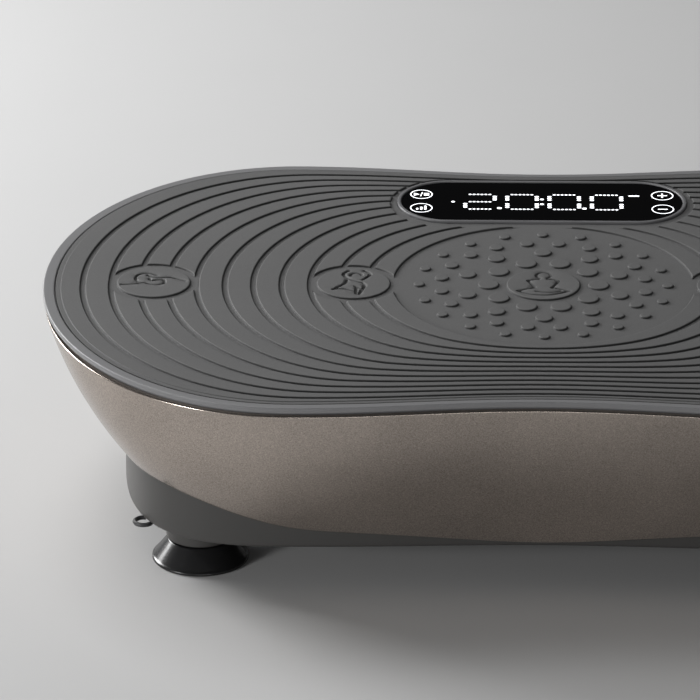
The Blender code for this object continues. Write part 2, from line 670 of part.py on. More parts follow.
def build_rocker_frame():
    """Steel frame under the deck: two rails, cross bars, pivot ears and pin ears."""
    height = FRAME_TOP - RAIL_BOTTOM
    middle = (FRAME_TOP + RAIL_BOTTOM) / 2
    axis = (0, 0, PIVOT_Z)
    frame = box("rocker_frame", (2 * BAR_X + 24, RAIL_WIDTH, height), (0, RAIL_Y, middle),
                PAINTED_STEEL, origin=axis)
    join(frame, box("rail_front", (2 * BAR_X + 24, RAIL_WIDTH, height), (0, -RAIL_Y, middle), None))
    for x in (-BAR_X, BAR_X):
        join(frame, box(f"end_bar_{x}", (24, 2 * BUMPER_Y + 30, height - 2), (x, 0, middle), None))
    bar_top = DECK_UNDERSIDE - 5.0 - 2.0
    join(frame, box("pivot_bar", (30, 2 * PIVOT_EAR_Y + 6, bar_top - RAIL_BOTTOM),
                    (0, 0, (bar_top + RAIL_BOTTOM) / 2), None))
    for side in (-1, 1):
        y = side * PIVOT_EAR_Y
        join(frame, box(f"pivot_ear_{side}", (30, 6, bar_top - PIVOT_Z + 14),
                        (0, y, (bar_top + PIVOT_Z - 14) / 2), None))
        combine(frame, cylinder(f"pivot_hole_{side}", 7 + GAP, (0, y - 6, PIVOT_Z), (0, y + 6, PIVOT_Z), None))
    for side in (-1, 1):
        y = side * 16.0
        join(frame, box(f"pin_ear_{side}", (20, 8, RAIL_BOTTOM + 6 - ROD_EYE_Z + 9),
                        (CRANK_X, y, (RAIL_BOTTOM + 6 + ROD_EYE_Z - 9) / 2), None))
    combine(frame, cylinder("rod_pin_bore", ROD_PIN_RADIUS + GAP, (CRANK_X, -26, ROD_EYE_Z),
                            (CRANK_X, 26, ROD_EYE_Z), None, segments=24))
    cylinder("rod_pin", ROD_PIN_RADIUS, (CRANK_X, -21, ROD_EYE_Z), (CRANK_X, 21, ROD_EYE_Z),
             BRIGHT_STEEL, origin=axis, segments=20)
    return frame


def build_bumper(tag, x, y):
    """Rubber buffer under the frame that stops the deck at the end of its rock."""
    top = RAIL_BOTTOM + 1.0 - GAP
    profile = [(0, top), (BUMPER_RADIUS, top), (BUMPER_RADIUS, BUMPER_BOTTOM + 3),
               (BUMPER_RADIUS - 3, BUMPER_BOTTOM), (0, BUMPER_BOTTOM)]
    turned(f"bumper_{tag}", profile, FOOT_RUBBER, (x, y, 0), steps=24)


def build_electrics():
    """Control board, heat sink, power socket, power switch and the inner leads."""
    board_x, board_z = 166.0, 42.0
    board = box("control_board", (54, 70, 1.6), (board_x, 0, board_z), BOARD_GREEN)
    for name, size, centre in (("relay", (16, 12, 14), (board_x - 14, 18, board_z + 7)),
                               ("transformer", (22, 20, 18), (board_x + 12, 18, board_z + 9)),
                               ("driver_chip", (12, 12, 3), (board_x + 12, -6, board_z + 1.5))):
        join(board, box(name, size, centre, None))
    join(board, cylinder("capacitor", 7, (board_x - 14, -2, board_z), (board_x - 14, -2, board_z + 20), None,
                         segments=20))
    for x in (-22, 22):
        for y in (-30, 30):
            join(board, cylinder(f"standoff_{x}_{y}", 3, (board_x + x, y, BASE_FLOOR + GAP),
                                 (board_x + x, y, board_z), None, segments=12))
    sink = box("heat_sink", (24, 3, 24), (board_x + 8, -26, board_z + 13.2), ALUMINIUM)
    for step in range(4):
        join(sink, box(f"fin_{step}", (2, 9, 24), (board_x - 1 + 6 * step, -21, board_z + 13.2), None))
    build_socket()
    build_switch()
    tube("motor_lead", [(135.5, 22, 43), (128, 44, 38), (110, 74, 35), (70, 97, 34.5), (0, 101, 34.5),
                        (-44, 94, 36), (-68, 74, 47), (-75, 57, 63)], 2.2, LEAD_BLACK)
    tube("display_lead", [(136.0, -12, 43), (126, 2, 41), (122, 50, 40), (100, 84, 42), (62, 104, 58),
                        (38, 104, 84), (30, DISPLAY_Y - 10, 103)], 1.8, LEAD_BLACK)


def build_socket():
    """Mains socket with two pins, set in the end wall."""
    face = BASE_HALF_LENGTH + GAP + 1.0
    body = box("power_socket", (22, 22, 13), (face - 11, SOCKET_Y, SOCKET_Z), BLACK_PLASTIC)
    join(body, box("socket_flange", (1.0, 28, 17), (face - 0.5, SOCKET_Y, SOCKET_Z), None))
    combine(body, box("socket_cavity", (24, 17, 8.4), (face, SOCKET_Y, SOCKET_Z), None, bevel=2.0))
    for side in (-1, 1):
        join(body, cylinder(f"socket_pin_{side}", 1.2, (face - 14, SOCKET_Y + side * 4.3, SOCKET_Z),
                            (face - 5, SOCKET_Y + side * 4.3, SOCKET_Z), None, segments=12))


def build_switch():
    """Power switch: a fixed frame and a rocker that tips about a short pin line."""
    face = BASE_HALF_LENGTH + GAP + 1.0
    half = SWITCH_HALF_LENGTH
    frame = box("switch_frame", (16, 2 * half, 13), (face - 8, SWITCH_Y, SWITCH_Z), BLACK_PLASTIC)
    join(frame, box("switch_flange", (1.0, 2 * half + 5, 17), (face - 0.5, SWITCH_Y, SWITCH_Z), None))
    combine(frame, box("switch_well", (24, 2 * half - 2.4, 10), (face, SWITCH_Y, SWITCH_Z), None))
    pivot = (face - 5.0, SWITCH_Y, SWITCH_Z)
    rocker = cylinder("switch_rocker", 6.2, (pivot[0], pivot[1], SWITCH_Z - 4.6),
                      (pivot[0], pivot[1], SWITCH_Z + 4.6), SWITCH_RED, origin=pivot)
    return combine(rocker, box("rocker_scoop", (10, 30, 12), (pivot[0] + 9.2, SWITCH_Y - 3.5, SWITCH_Z), None))


# ---------------------------------------------------------------- assembly

clear_scene()
parts = new_collection("vibration_plate")
cutters = new_collection("cutters")

DECK_GREY = material("deck_grey", (0.115, 0.115, 0.12), 0.45)
MAT_RUBBER = material("mat_rubber", (0.085, 0.085, 0.088), 0.62)
TRIM_GREY = material("trim_grey", (0.10, 0.10, 0.105), 0.4)
LENS_BLACK = material("lens_black", (0.004, 0.004, 0.005), 0.12)
DIGIT_WHITE = material("digit_white", (0.85, 0.87, 0.9), 0.5)
BOARD_GREEN = material("board_green", (0.02, 0.12, 0.05), 0.5)
BLACK_PLASTIC = material("black_plastic", (0.02, 0.02, 0.022), 0.4)
SHELL_CHAMPAGNE = material("shell_champagne", (0.36, 0.31, 0.27), 0.38, 0.7)
BASE_GREY = material("base_grey", (0.10, 0.098, 0.095), 0.5)
FOOT_RUBBER = material("foot_rubber", (0.012, 0.012, 0.013), 0.35)
STEEL = material("zinc_steel", (0.55, 0.55, 0.56), 0.35, 1.0)
BRIGHT_STEEL = material("bright_steel", (0.65, 0.65, 0.66), 0.2, 1.0)
PAINTED_STEEL = material("painted_steel", (0.03, 0.03, 0.032), 0.5, 0.2)
MOTOR_BLACK = material("motor_black", (0.03, 0.03, 0.03), 0.35, 0.5)
PULLEY_METAL = material("pulley_metal", (0.5, 0.5, 0.51), 0.3, 1.0)
CAST_METAL = material("cast_metal", (0.42, 0.42, 0.43), 0.5, 1.0)
BELT_RUBBER = material("belt_rubber", (0.015, 0.015, 0.015), 0.7)
ALUMINIUM = material("aluminium", (0.7, 0.7, 0.72), 0.35, 1.0)
LEAD_BLACK = material("lead_black", (0.02, 0.02, 0.02), 0.5)
SWITCH_RED = material("switch_red", (0.45, 0.02, 0.02), 0.35)

build_base_tray()
for side_name, side_x in (("left", -1), ("right", 1)):
    for end_name, end_y in (("front", -1), ("rear", 1)):
        label = f"{end_name}_{side_name}"
        build_foot(label, side_x * FOOT_X, end_y * FOOT_Y)
        build_bumper(label, side_x * BAR_X, end_y * BUMPER_Y)
build_band_loop("left", -1)
build_band_loop("right", 1)
build_chassis()
build_pivot("front", -1)
build_pivot("rear", 1)
build_motor()
build_belt()
build_crank()
build_rod()
build_rocker_frame()
build_electrics()
build_deck_plate()
build_tread_mat()
build_display()
build_side_shell()
build_shell_screws()
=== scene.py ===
"""Finished looks of the vibration plate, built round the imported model.

Lengths are in millimetres and are multiplied by MM when a mesh is made. The
origin is on the floor under the middle of the deck: +X along the deck, -Y
towards the user's side, +Z up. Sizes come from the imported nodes' boxes, and
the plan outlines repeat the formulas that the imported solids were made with.
"""
import json
import math

import bmesh
import bpy
import numpy as np
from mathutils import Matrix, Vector, geometry


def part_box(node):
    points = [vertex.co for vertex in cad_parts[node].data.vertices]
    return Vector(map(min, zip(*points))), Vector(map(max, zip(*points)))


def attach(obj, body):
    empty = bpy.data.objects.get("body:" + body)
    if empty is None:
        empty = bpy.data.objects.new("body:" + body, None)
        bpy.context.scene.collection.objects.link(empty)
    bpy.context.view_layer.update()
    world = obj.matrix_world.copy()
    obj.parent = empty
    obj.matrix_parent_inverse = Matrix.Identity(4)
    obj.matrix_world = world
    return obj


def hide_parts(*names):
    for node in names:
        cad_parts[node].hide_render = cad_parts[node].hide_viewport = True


MM = 0.001
NEAR_AXIS = 0.01
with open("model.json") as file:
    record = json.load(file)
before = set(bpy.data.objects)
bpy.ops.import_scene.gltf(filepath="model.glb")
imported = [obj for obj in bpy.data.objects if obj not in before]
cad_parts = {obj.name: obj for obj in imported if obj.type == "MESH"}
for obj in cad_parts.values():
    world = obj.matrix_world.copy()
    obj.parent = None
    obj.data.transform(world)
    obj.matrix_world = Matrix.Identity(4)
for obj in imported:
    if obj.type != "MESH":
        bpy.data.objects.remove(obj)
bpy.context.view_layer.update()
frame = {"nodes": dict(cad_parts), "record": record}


def low(node):
    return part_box(node)[0] / MM


def high(node):
    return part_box(node)[1] / MM


# Deck
HALF_LENGTH = high("deck_plate").x
LOBE = high("deck_plate").y
WAIST = 147.4
LOBE_X = 132.0
DECK_TOP = high("deck_plate").z
DECK_UNDERSIDE = low("deck_plate").z
RIM_THICKNESS = 3.0
RIM_BAND = 6.0
RIM_ROUNDING = 0.8
FIT_GAP = 0.3
RECESS_FLOOR = low("tread_mat").z - FIT_GAP

# Shell
SHELL_TOP = high("side_shell").z
SHELL_LOW = 28.0
SHELL_WALL = 3.0
SHELL_CLEARANCE = 2.5
SKIRT_INSET = 3.5
SHELL_LOW_HALF_LENGTH = 198.6
SHELL_LOW_LOBE = 121.1
SHELL_LOW_WAIST = 121.3
SHELL_LOW_LOBE_X = 88.4
STRAIGHT_TAPER = 0.41
TAPER_POWER = 1.79
POWER_GAIN = 1.28
SHELL_EDGE = ((1.2, -0.05), (0.6, 0.05), (0.15, 0.35), (0.0, 0.9))
SHELL_BROW = ((0.08, 0.4), (0.35, 0.1), (0.8, 0.0), (SHELL_WALL, 0.0))
SHELL_ROWS = 40
FLANGE_WIDTH = 9.0
FLANGE_THICKNESS = 3.0

# Base
BASE_HALF_LENGTH = high("base_tray").x
BASE_LOBE = high("base_tray").y
BASE_WAIST = 119.2
BASE_LOBE_X = 127.0
BASE_POWER = 3.2
BASE_BOTTOM = 26.0
BASE_WALL = 3.0
BASE_WALL_TOP = 66.0
BASE_FLOOR = BASE_BOTTOM + BASE_WALL
BASE_ROUNDING = 1.8
FOOT_X = 180.0
FOOT_Y = 80.0
BOSS_RADIUS = 18.0
BOSS_BOTTOM = 13.0
BOSS_ROUNDING = 1.2
PILLAR_RADIUS = 12.0
PILLAR_TOP = 78.0
PILLAR_Y = 60.0
STUD_HOLE_RADIUS = 4.3
FOOT_TOP = 12.0
PANEL_Z = 38.0
PANEL_HOLE_HEIGHT = 13.6
PANEL_HOLES = ((-14.0, 22.6), (18.0, 19.6))

# Mat
MAT_TOP = high("tread_mat").z
MAT_GAP = 0.6
MAT_SHARP = 80
RELIEF = 1.0
RING_X = 79.8
RING_Y = 77.2
GROOVES = 11
GROOVE_STEP = 0.0843
GROOVE_AT_WAIST = 1.8
GROOVE_AT_END = 2.6
BORDER_WIDTH = 2.6
BORDER_DROP = 0.3
BORDER_RAMP = ((-0.25, 0.0), (0.0, 0.0), (0.2, 1.0), (0.45, 1.0))
# Painted shade at the mat's edge step: colour factor by distance, darker at the step's foot.
BORDER_PAINTED_SHADE = ((-0.25, 1.0), (0.0, 0.45), (0.2, 0.6), (0.45, 1.0))
WALL_RAMP = ((-0.6, 0.0), (0.0, 0.0), (0.16, 0.68), (0.38, 0.92), (0.75, 1.0))
# Painted shade on ribs, dots and discs: colour factor by distance from each wall's foot, darkest there.
WALL_PAINTED_SHADE = ((-0.6, 1.0), (0.0, 0.2), (0.16, 0.32), (0.38, 0.95), (0.75, 1.0))
STROKE_RAMP = ((0.0, 0.0), (0.3, 1.0))
# Painted shade in the sunk picture lines: their floors are darker.
STROKE_PAINTED_SHADE = ((0.0, 0.35), (0.3, 1.0))
STROKE_HALF_WIDTH = 0.75
STROKE_DEPTH = 0.9
DISC_RADIUS = 19.5
DISC_CLEARANCE = 3.9
DISC_X = 100.6
OUTER_DISC_X = 206.6
EDGE_SHARE = 0.9
# Name of the mat's colour layer that holds its painted shade.
PAINTED_SHADE = "tone_and_painted_shade"
DOT_RINGS = ((29.2, 10, 0.0, 5.7), (42.3, 10, 0.5, 4.7), (54.6, 20, 0.5, 3.8), (65.9, 20, 0.0, 3.05))

# Display
DISPLAY_Y = (low("display_lens").y + high("display_lens").y) / 2
DISPLAY_HALF_LENGTH = high("display_lens").x
DISPLAY_RADIUS = high("display_lens").y - DISPLAY_Y
BEZEL_WIDTH = high("display_bezel").x - DISPLAY_HALF_LENGTH
BEZEL_TOP = high("display_bezel").z
LENS_TOP = high("display_lens").z
DISPLAY_CLEARANCE = 6.0
CLEARANCE_SHIFT = 2.0
DIGIT_HALF_WIDTH = 8.0
DIGIT_BASE = 99.0
DIGIT_HEIGHT = 19.8
SEGMENT_RISE = 5.0
DASH = (1.6, 1.3, 0.55)
DASH_STEP = 2.15
DOT = (2.3, 1.6, 0.7)
DOT_STEP = 2.25
INDICATORS = ((0.0, 106.0, 2.2, 2.0, 0.9), (0.0, 112.5, 2.2, 2.0, 0.9), (-23.1, 100.4, 2.6, 2.2, 0.9),
              (22.9, 100.4, 2.6, 2.2, 0.9), (-48.2, 108.8, 2.0, 2.0, 0.9), (50.0, 117.8, 6.0, 1.4, 0.6))
DIGITS = ((-33.6, "abged"), (-10.8, "abcdef"), (12.1, "abcdef"), (35.1, "abcdef"))
BUTTON_X = 65.4
BUTTON_ROWS = (118.6, 100.2)
BUTTON_RADIUS = 5.8
BUTTON_LINE = 0.3
SIGN_BAR = (5.4, 0.9, 0.3)
SIGN_STUB = (0.9, 2.3, 0.3)
LIGHT_LIFT = 0.03


# Stage, in metres and watts: name, place, target, size, power
LIGHTS = (("rear_left", (-1.35, 0.85, 0.7), (-0.2, 0.0, 0.1), (0.8, 0.6), 30.0),
          ("overhead", (-0.6, 0.55, 1.6), (-0.05, 0.0, 0.1), (1.0, 0.7), 10.5),
          ("front_left", (-1.45, -1.1, 0.42), (-0.17, -0.13, 0.1), (0.35, 0.3), 14.0),
          ("right_fill", (2.1, 0.3, 0.9), (0.1, 0.0, 0.1), (1.0, 0.8), 2.5),
          ("front_low", (0.2, -2.3, 0.3), (0.0, -0.15, 0.1), (1.4, 0.2), 5.0))
WORLD_STRENGTH = 0.1
FLOOR_HALF = 4000
FLOOR_COLOUR = (0.54, 0.54, 0.54)
CAMERA_PLACE = (-0.04525, -3.74763, 1.80091)
CAMERA_TILT = 24.6225
CAMERA_TURN = 0.875
CAMERA_LENS = 398.5


# ---------------------------------------------------------------- plan outlines

def column_table(columns):
    """Sign, end flag, angle and side share of each column round an outline."""
    side = columns // 6
    end = columns // 2 - side
    angle = np.concatenate([-math.pi / 2 + math.pi * np.arange(end) / end, np.zeros(side)])
    share = np.concatenate([np.ones(end), 1 - 2 * np.arange(side) / side])
    is_end = np.arange(end + side) < end
    sign = np.repeat([1.0, -1.0], end + side)
    return {"sign": sign, "is_end": np.tile(is_end, 2), "angle": np.tile(angle, 2),
            "share": np.tile(share, 2), "end": end, "side": side}


COARSE = column_table(360)
FINE = column_table(2880)


def outline(half_length, lobe, waist, lobe_x, power=2.0, table=COARSE):
    """Two rounded lobes joined by a narrower waist, anticlockwise; one value or one per column."""
    cosine = np.maximum(np.cos(table["angle"]), 0.0) ** (2 / power)
    sine = np.sign(table["angle"]) * np.abs(np.sin(table["angle"])) ** (2 / power)
    dip = (1 + np.cos(math.pi * table["share"])) / 2
    x = np.where(table["is_end"], lobe_x + (half_length - lobe_x) * cosine, lobe_x * table["share"])
    y = np.where(table["is_end"], lobe * sine, lobe - (lobe - waist) * dip)
    return np.column_stack([table["sign"] * x, table["sign"] * y])


def deck_outline(inset, table=COARSE):
    return outline(HALF_LENGTH - inset, LOBE - inset * 0.85, WAIST - inset * 0.6, LOBE_X, table=table)


def base_outline(inset, table=COARSE):
    return outline(BASE_HALF_LENGTH - inset, BASE_LOBE - inset, BASE_WAIST - inset, BASE_LOBE_X,
                   BASE_POWER, table)


def shell_outline(z, inset):
    """Shell section: it narrows slowly at first below the rim, then faster."""
    rim = DECK_TOP - RIM_THICKNESS
    depth = np.maximum((rim - np.asarray(z, float)) / (rim - SHELL_LOW), 0.0)
    taper = STRAIGHT_TAPER * depth + (1 - STRAIGHT_TAPER) * depth ** TAPER_POWER

    def blend(top, bottom):
        return top + (bottom - top) * taper

    return outline(blend(HALF_LENGTH + 0.4, SHELL_LOW_HALF_LENGTH) - inset,
                   blend(LOBE - 2.0, SHELL_LOW_LOBE) - inset, blend(WAIST - 1.9, SHELL_LOW_WAIST) - inset,
                   blend(LOBE_X, SHELL_LOW_LOBE_X), 2.0 + POWER_GAIN * depth)


def at(points, z):
    """Plan points lifted to height z, which is one value or one per point."""
    return np.column_stack([points, np.broadcast_to(z, len(points))])


def pill(grow, y=DISPLAY_Y, columns=96):
    """Stadium round the display's lens, larger by grow."""
    radius = DISPLAY_RADIUS + grow
    centre = DISPLAY_HALF_LENGTH - DISPLAY_RADIUS
    angle = np.linspace(-math.pi / 2, math.pi / 2, columns // 2)
    right = np.column_stack([centre + radius * np.cos(angle), radius * np.sin(angle)])
    return np.concatenate([right, -right]) + (0, y)


def pill_distance(points, y=DISPLAY_Y):
    """Distance outside the lens's edge, negative over the lens."""
    centre = DISPLAY_HALF_LENGTH - DISPLAY_RADIUS
    across = np.maximum(np.abs(points[:, 0]) - centre, 0.0)
    return np.hypot(across, points[:, 1] - y) - DISPLAY_RADIUS


def cross(first, second):
    """Cross product of plan vectors, row by row."""
    return first[:, 0] * second[:, 1] - first[:, 1] * second[:, 0]


def circle(x, y, radius, columns=28):
    angle = 2 * math.pi * np.arange(columns) / columns
    return np.column_stack([x + radius * np.cos(angle), y + radius * np.sin(angle)])


# ---------------------------------------------------------------- mesh helpers

def new_piece(name, vertices, faces, paint, sharp=50):
    """Mesh object from points in millimetres, smooth but for edges sharper than sharp degrees."""
    data = bpy.data.meshes.new(name)
    data.from_pydata((np.asarray(vertices) * MM).tolist(), [], faces)
    data.materials.append(paint)
    thing = bpy.data.objects.new(name, data)
    bpy.context.scene.collection.objects.link(thing)
    shade(thing, sharp)
    return thing


def shade(thing, sharp):
    thing.data.shade_smooth()
    thing.data.set_sharp_from_angle(angle=math.radians(sharp))


def finish_piece(thing, body, *replaced):
    """Even out the shading, then tie the piece to its body and hide the CAD nodes that it replaces."""
    thing.modifiers.new("even shading", 'WEIGHTED_NORMAL').keep_sharp = True
    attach(thing, body)
    if replaced:
        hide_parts(*replaced)
    return thing


def band_faces(rows, columns, looped=False, first=0):
    """Quads between successive closed rows, each of the same number of points."""
    faces = []
    for row in range(rows if looped else rows - 1):
        near = first + row * columns
        far = first + (row + 1) % rows * columns
        for i in range(columns):
            j = (i + 1) % columns
            faces.append((near + i, near + j, far + j, far + i))
    return faces


def loft(name, rows, paint, looped=False, capped=True, sharp=50):
    """Skin through closed rows; the first and last are capped unless it loops."""
    columns = len(rows[0])
    faces = band_faces(len(rows), columns, looped)
    if capped and not looped:
        last = (len(rows) - 1) * columns
        faces.append(tuple(reversed(range(columns))))
        faces.append(tuple(range(last, last + columns)))
    return new_piece(name, np.concatenate(rows), faces, paint, sharp)


def fillet(profile, radius, steps=4):
    """Open profile with each inner corner rounded to a given radius."""
    points = [np.array(p, float) for p in profile]
    out = [points[0]]
    for before, corner, after in zip(points, points[1:], points[2:]):
        reach_in = np.linalg.norm(before - corner)
        reach_out = np.linalg.norm(after - corner)
        cut = min(radius, reach_in / 2.2, reach_out / 2.2)
        start = corner + (before - corner) / reach_in * cut
        stop = corner + (after - corner) / reach_out * cut
        for i in range(steps + 1):
            t = i / steps
            out.append((1 - t) ** 2 * start + 2 * t * (1 - t) * corner + t * t * stop)
    out.append(points[-1])
    return out


def turned(name, profile, centre, paint, steps=72):
    """Body of revolution about a vertical line; profile holds (radius, height) pairs."""
    rows = [at(circle(*centre, radius, steps), z) for radius, z in reversed(profile)]
    return loft(name, rows, paint)


def block(name, size, centre):
    """Plain box, used only as a cutting tool."""
    corners = [(sx, sy, sz) for sz in (-1, 1) for sx, sy in ((-1, -1), (1, -1), (1, 1), (-1, 1))]
    points = [[c + s * d / 2 for c, s, d in zip(centre, corner, size)] for corner in corners]
    return loft(name, [np.array(points[:4]), np.array(points[4:])], PAINTS["base"])


def combine(thing, tool, operation, sharp=50):
    """Boolean step, applied at once; the tool is used up."""
    step = thing.modifiers.new("step", 'BOOLEAN')
    step.operation = operation
    step.solver = 'EXACT'
    step.object = tool
    graph = bpy.context.evaluated_depsgraph_get()
    data = bpy.data.meshes.new_from_object(thing.evaluated_get(graph))
    thing.modifiers.clear()
    thing.data = data
    bpy.data.objects.remove(tool, do_unlink=True)
    shade(thing, sharp)
    return thing


# ---------------------------------------------------------------- materials

def surface(name, colour, roughness, metallic=0.0, grain=1500.0, variation=0.08, relief=0.02,
            **sockets):
    """Procedural paint: grain-driven colour and roughness, slow mottling and a fine bump."""
    paint = bpy.data.materials.new(name)
    paint.use_nodes = True
    tree = paint.node_tree
    shader = tree.nodes["Principled BSDF"]
    shader.inputs["Metallic"].default_value = metallic
    for socket, value in sockets.items():
        shader.inputs[socket.replace("_", " ")].default_value = value
    place = tree.nodes.new("ShaderNodeTexCoord").outputs["Object"]
    fine = noise_node(tree, place, grain, 2.0)
    slow = noise_node(tree, place, 14.0, 3.0)
    mixed = tree.nodes.new("ShaderNodeMath")
    mixed.operation = 'MULTIPLY_ADD'
    tree.links.new(slow, mixed.inputs[0])
    mixed.inputs[1].default_value = 0.35
    tree.links.new(fine, mixed.inputs[2])
    tone_and_painted_shade = tree.nodes.new("ShaderNodeMapRange")
    tone_and_painted_shade.inputs["From Min"].default_value = 0.35
    tone_and_painted_shade.inputs["From Max"].default_value = 1.0
    tree.links.new(mixed.outputs[0], tone_and_painted_shade.inputs["Value"])
    ramp = tree.nodes.new("ShaderNodeMix")
    ramp.data_type = 'RGBA'
    ramp.inputs["A"].default_value = (*[c * (1 - variation) for c in colour], 1.0)
    ramp.inputs["B"].default_value = (*[min(1.0, c * (1 + variation)) for c in colour], 1.0)
    tree.links.new(tone_and_painted_shade.outputs[0], ramp.inputs["Factor"])
    tree.links.new(ramp.outputs["Result"], shader.inputs["Base Color"])
    gloss = tree.nodes.new("ShaderNodeMapRange")
    gloss.inputs["To Min"].default_value = roughness * 0.92
    gloss.inputs["To Max"].default_value = roughness * 1.08
    tree.links.new(fine, gloss.inputs["Value"])
    tree.links.new(gloss.outputs[0], shader.inputs["Roughness"])
    if relief:
        bump = tree.nodes.new("ShaderNodeBump")
        bump.inputs["Strength"].default_value = 1.0
        bump.inputs["Distance"].default_value = relief * MM
        tree.links.new(fine, bump.inputs["Height"])
        tree.links.new(bump.outputs[0], shader.inputs["Normal"])
    return paint


def noise_node(tree, place, scale, detail):
    node = tree.nodes.new("ShaderNodeTexNoise")
    node.inputs["Scale"].default_value = scale
    node.inputs["Detail"].default_value = detail
    tree.links.new(place, node.inputs["Vector"])
    return node.outputs["Fac"]


def brushed(name, colour, roughness, stretch=(60.0, 60.0, 2500.0)):
    """Machined metal: noise drawn out into fine lines."""
    paint = surface(name, colour, roughness, 1.0, grain=1.0, variation=0.14, relief=0.0)
    tree = paint.node_tree
    place = next(n for n in tree.nodes if n.type == 'TEX_COORD')
    scale = tree.nodes.new("ShaderNodeVectorMath")
    scale.operation = 'MULTIPLY'
    scale.inputs[1].default_value = stretch
    tree.links.new(place.outputs["Object"], scale.inputs[0])
    for node in [n for n in tree.nodes if n.type == 'TEX_NOISE']:
        if node.inputs["Scale"].default_value == 1.0:
            tree.links.new(scale.outputs[0], node.inputs["Vector"])
    return paint


def flaked(name, colour, roughness):
    """Metallic lacquer: tiny flakes that differ in lightness and tilt under a thin clear coat."""
    return surface(name, colour, roughness, 0.92, grain=1500.0, variation=0.42, relief=0.02,
                   Coat_Weight=0.12, Coat_Roughness=0.3)


def with_painted_shade(paint):
    """Multiply the paint by the mesh's painted shade layer, darker at the foot of its moulded walls and in
    its sunk lines.
    """
    tree = paint.node_tree
    shader = tree.nodes["Principled BSDF"]
    plain = shader.inputs["Base Color"].links[0].from_socket
    # Painted shade layer of the mesh, read per point.
    tone_and_painted_shade = tree.nodes.new("ShaderNodeAttribute")
    tone_and_painted_shade.attribute_name = PAINTED_SHADE
    deeper = tree.nodes.new("ShaderNodeMix")
    deeper.data_type = 'RGBA'
    deeper.blend_type = 'MULTIPLY'
    deeper.inputs["Factor"].default_value = 1.0
    tree.links.new(plain, deeper.inputs["A"])
    tree.links.new(tone_and_painted_shade.outputs["Color"], deeper.inputs["B"])
    tree.links.new(deeper.outputs["Result"], shader.inputs["Base Color"])
    return paint


def lit(name, colour, strength):
    paint = surface(name, colour, 0.5, relief=0.0, variation=0.03, Emission_Strength=strength)
    paint.node_tree.nodes["Principled BSDF"].inputs["Emission Color"].default_value = (*colour, 1.0)
    return paint


PAINTS = {
    "deck": surface("deck", (0.19, 0.19, 0.194), 0.44, grain=2600.0, variation=0.05, relief=0.006),
    # The mat's colour is multiplied by painted shade in its grooves, at its edge step and in its sunk
    # lines.
    "mat": with_painted_shade(surface("mat", (0.117, 0.117, 0.117), 0.62, grain=1900.0, variation=0.14,
                         relief=0.035, Specular_IOR_Level=0.3)),
    "display_trim": surface("display_trim", (0.14, 0.14, 0.145), 0.4, variation=0.04, relief=0.004),
    "display_lens": surface("display_lens", (0.0015, 0.0015, 0.0018), 0.12, variation=0.05, relief=0.0,
                            Specular_IOR_Level=0.02),
    "digits": lit("digits", (0.93, 0.95, 1.0), 1.6),
    "shell": flaked("shell", (0.44, 0.385, 0.34), 0.22),
    "base": surface("base", (0.048, 0.0465, 0.0445), 0.36, grain=2600.0, variation=0.05, relief=0.006),
    "foot_rubber": surface("foot_rubber", (0.012, 0.012, 0.0125), 0.24, grain=500.0, variation=0.1,
                           relief=0.004),
    "steel": brushed("steel", (0.55, 0.55, 0.56), 0.34),
    "bright_steel": brushed("bright_steel", (0.66, 0.66, 0.67), 0.2, (2500.0, 60.0, 60.0)),
    "painted_steel": surface("painted_steel", (0.03, 0.03, 0.032), 0.5, 0.0, 900.0, 0.15, 0.03),
    "motor": surface("motor", (0.03, 0.03, 0.031), 0.36, 0.4, 1200.0, 0.12, 0.01),
    "cast_metal": surface("cast_metal", (0.42, 0.42, 0.43), 0.5, 1.0, 420.0, 0.12, 0.12),
    "belt": surface("belt", (0.016, 0.016, 0.016), 0.72, 0.0, 1400.0, 0.15, 0.04),
    "board": surface("board", (0.02, 0.12, 0.05), 0.38, 0.0, 260.0, 0.25, 0.0),
    "black_plastic": surface("black_plastic", (0.02, 0.02, 0.022), 0.42, 0.0, 1600.0, 0.1, 0.03),
    "aluminium": brushed("aluminium", (0.7, 0.7, 0.72), 0.34, (60.0, 2500.0, 60.0)),
    "lead": surface("lead", (0.02, 0.02, 0.02), 0.45, 0.0, 700.0, 0.1, 0.01),
    "switch_red": surface("switch_red", (0.45, 0.02, 0.02), 0.28, 0.0, 500.0, 0.06, 0.004),
}


def paint_nodes():
    """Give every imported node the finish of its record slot."""
    for part in frame["record"]["subparts"]:
        data = frame["nodes"][part["node"]].data
        data.materials.clear()
        data.materials.append(PAINTS[part["material_slot"]])


# ---------------------------------------------------------------- tread mat

def inner_ring(table):
    """The ellipse round the dots, with a point for each column of the outline."""
    angle = np.where(table["is_end"], table["angle"] * 2 / 3,
                     math.pi / 2 - math.pi / 6 * table["share"])
    return table["sign"][:, None] * np.column_stack([RING_X * np.cos(angle), RING_Y * np.sin(angle)])


def rib_columns(table):
    """Where each column starts and ends, and how many millimetres it crosses at right angles."""
    start = inner_ring(table)
    stop = deck_outline(RIM_BAND + MAT_GAP, table)
    middle = (start + stop) / 2
    along = np.roll(middle, -1, axis=0) - np.roll(middle, 1, axis=0)
    along /= np.linalg.norm(along, axis=1)[:, None]
    across = stop - start
    width = np.abs(cross(across, along))
    return start, stop, width


def groove_width(width):
    """Grooves are wider where the ribs are, at the two ends."""
    ends = HALF_LENGTH - RIM_BAND - RING_X
    waist = WAIST - RING_Y
    return np.interp(width, (waist, ends), (GROOVE_AT_WAIST, GROOVE_AT_END))


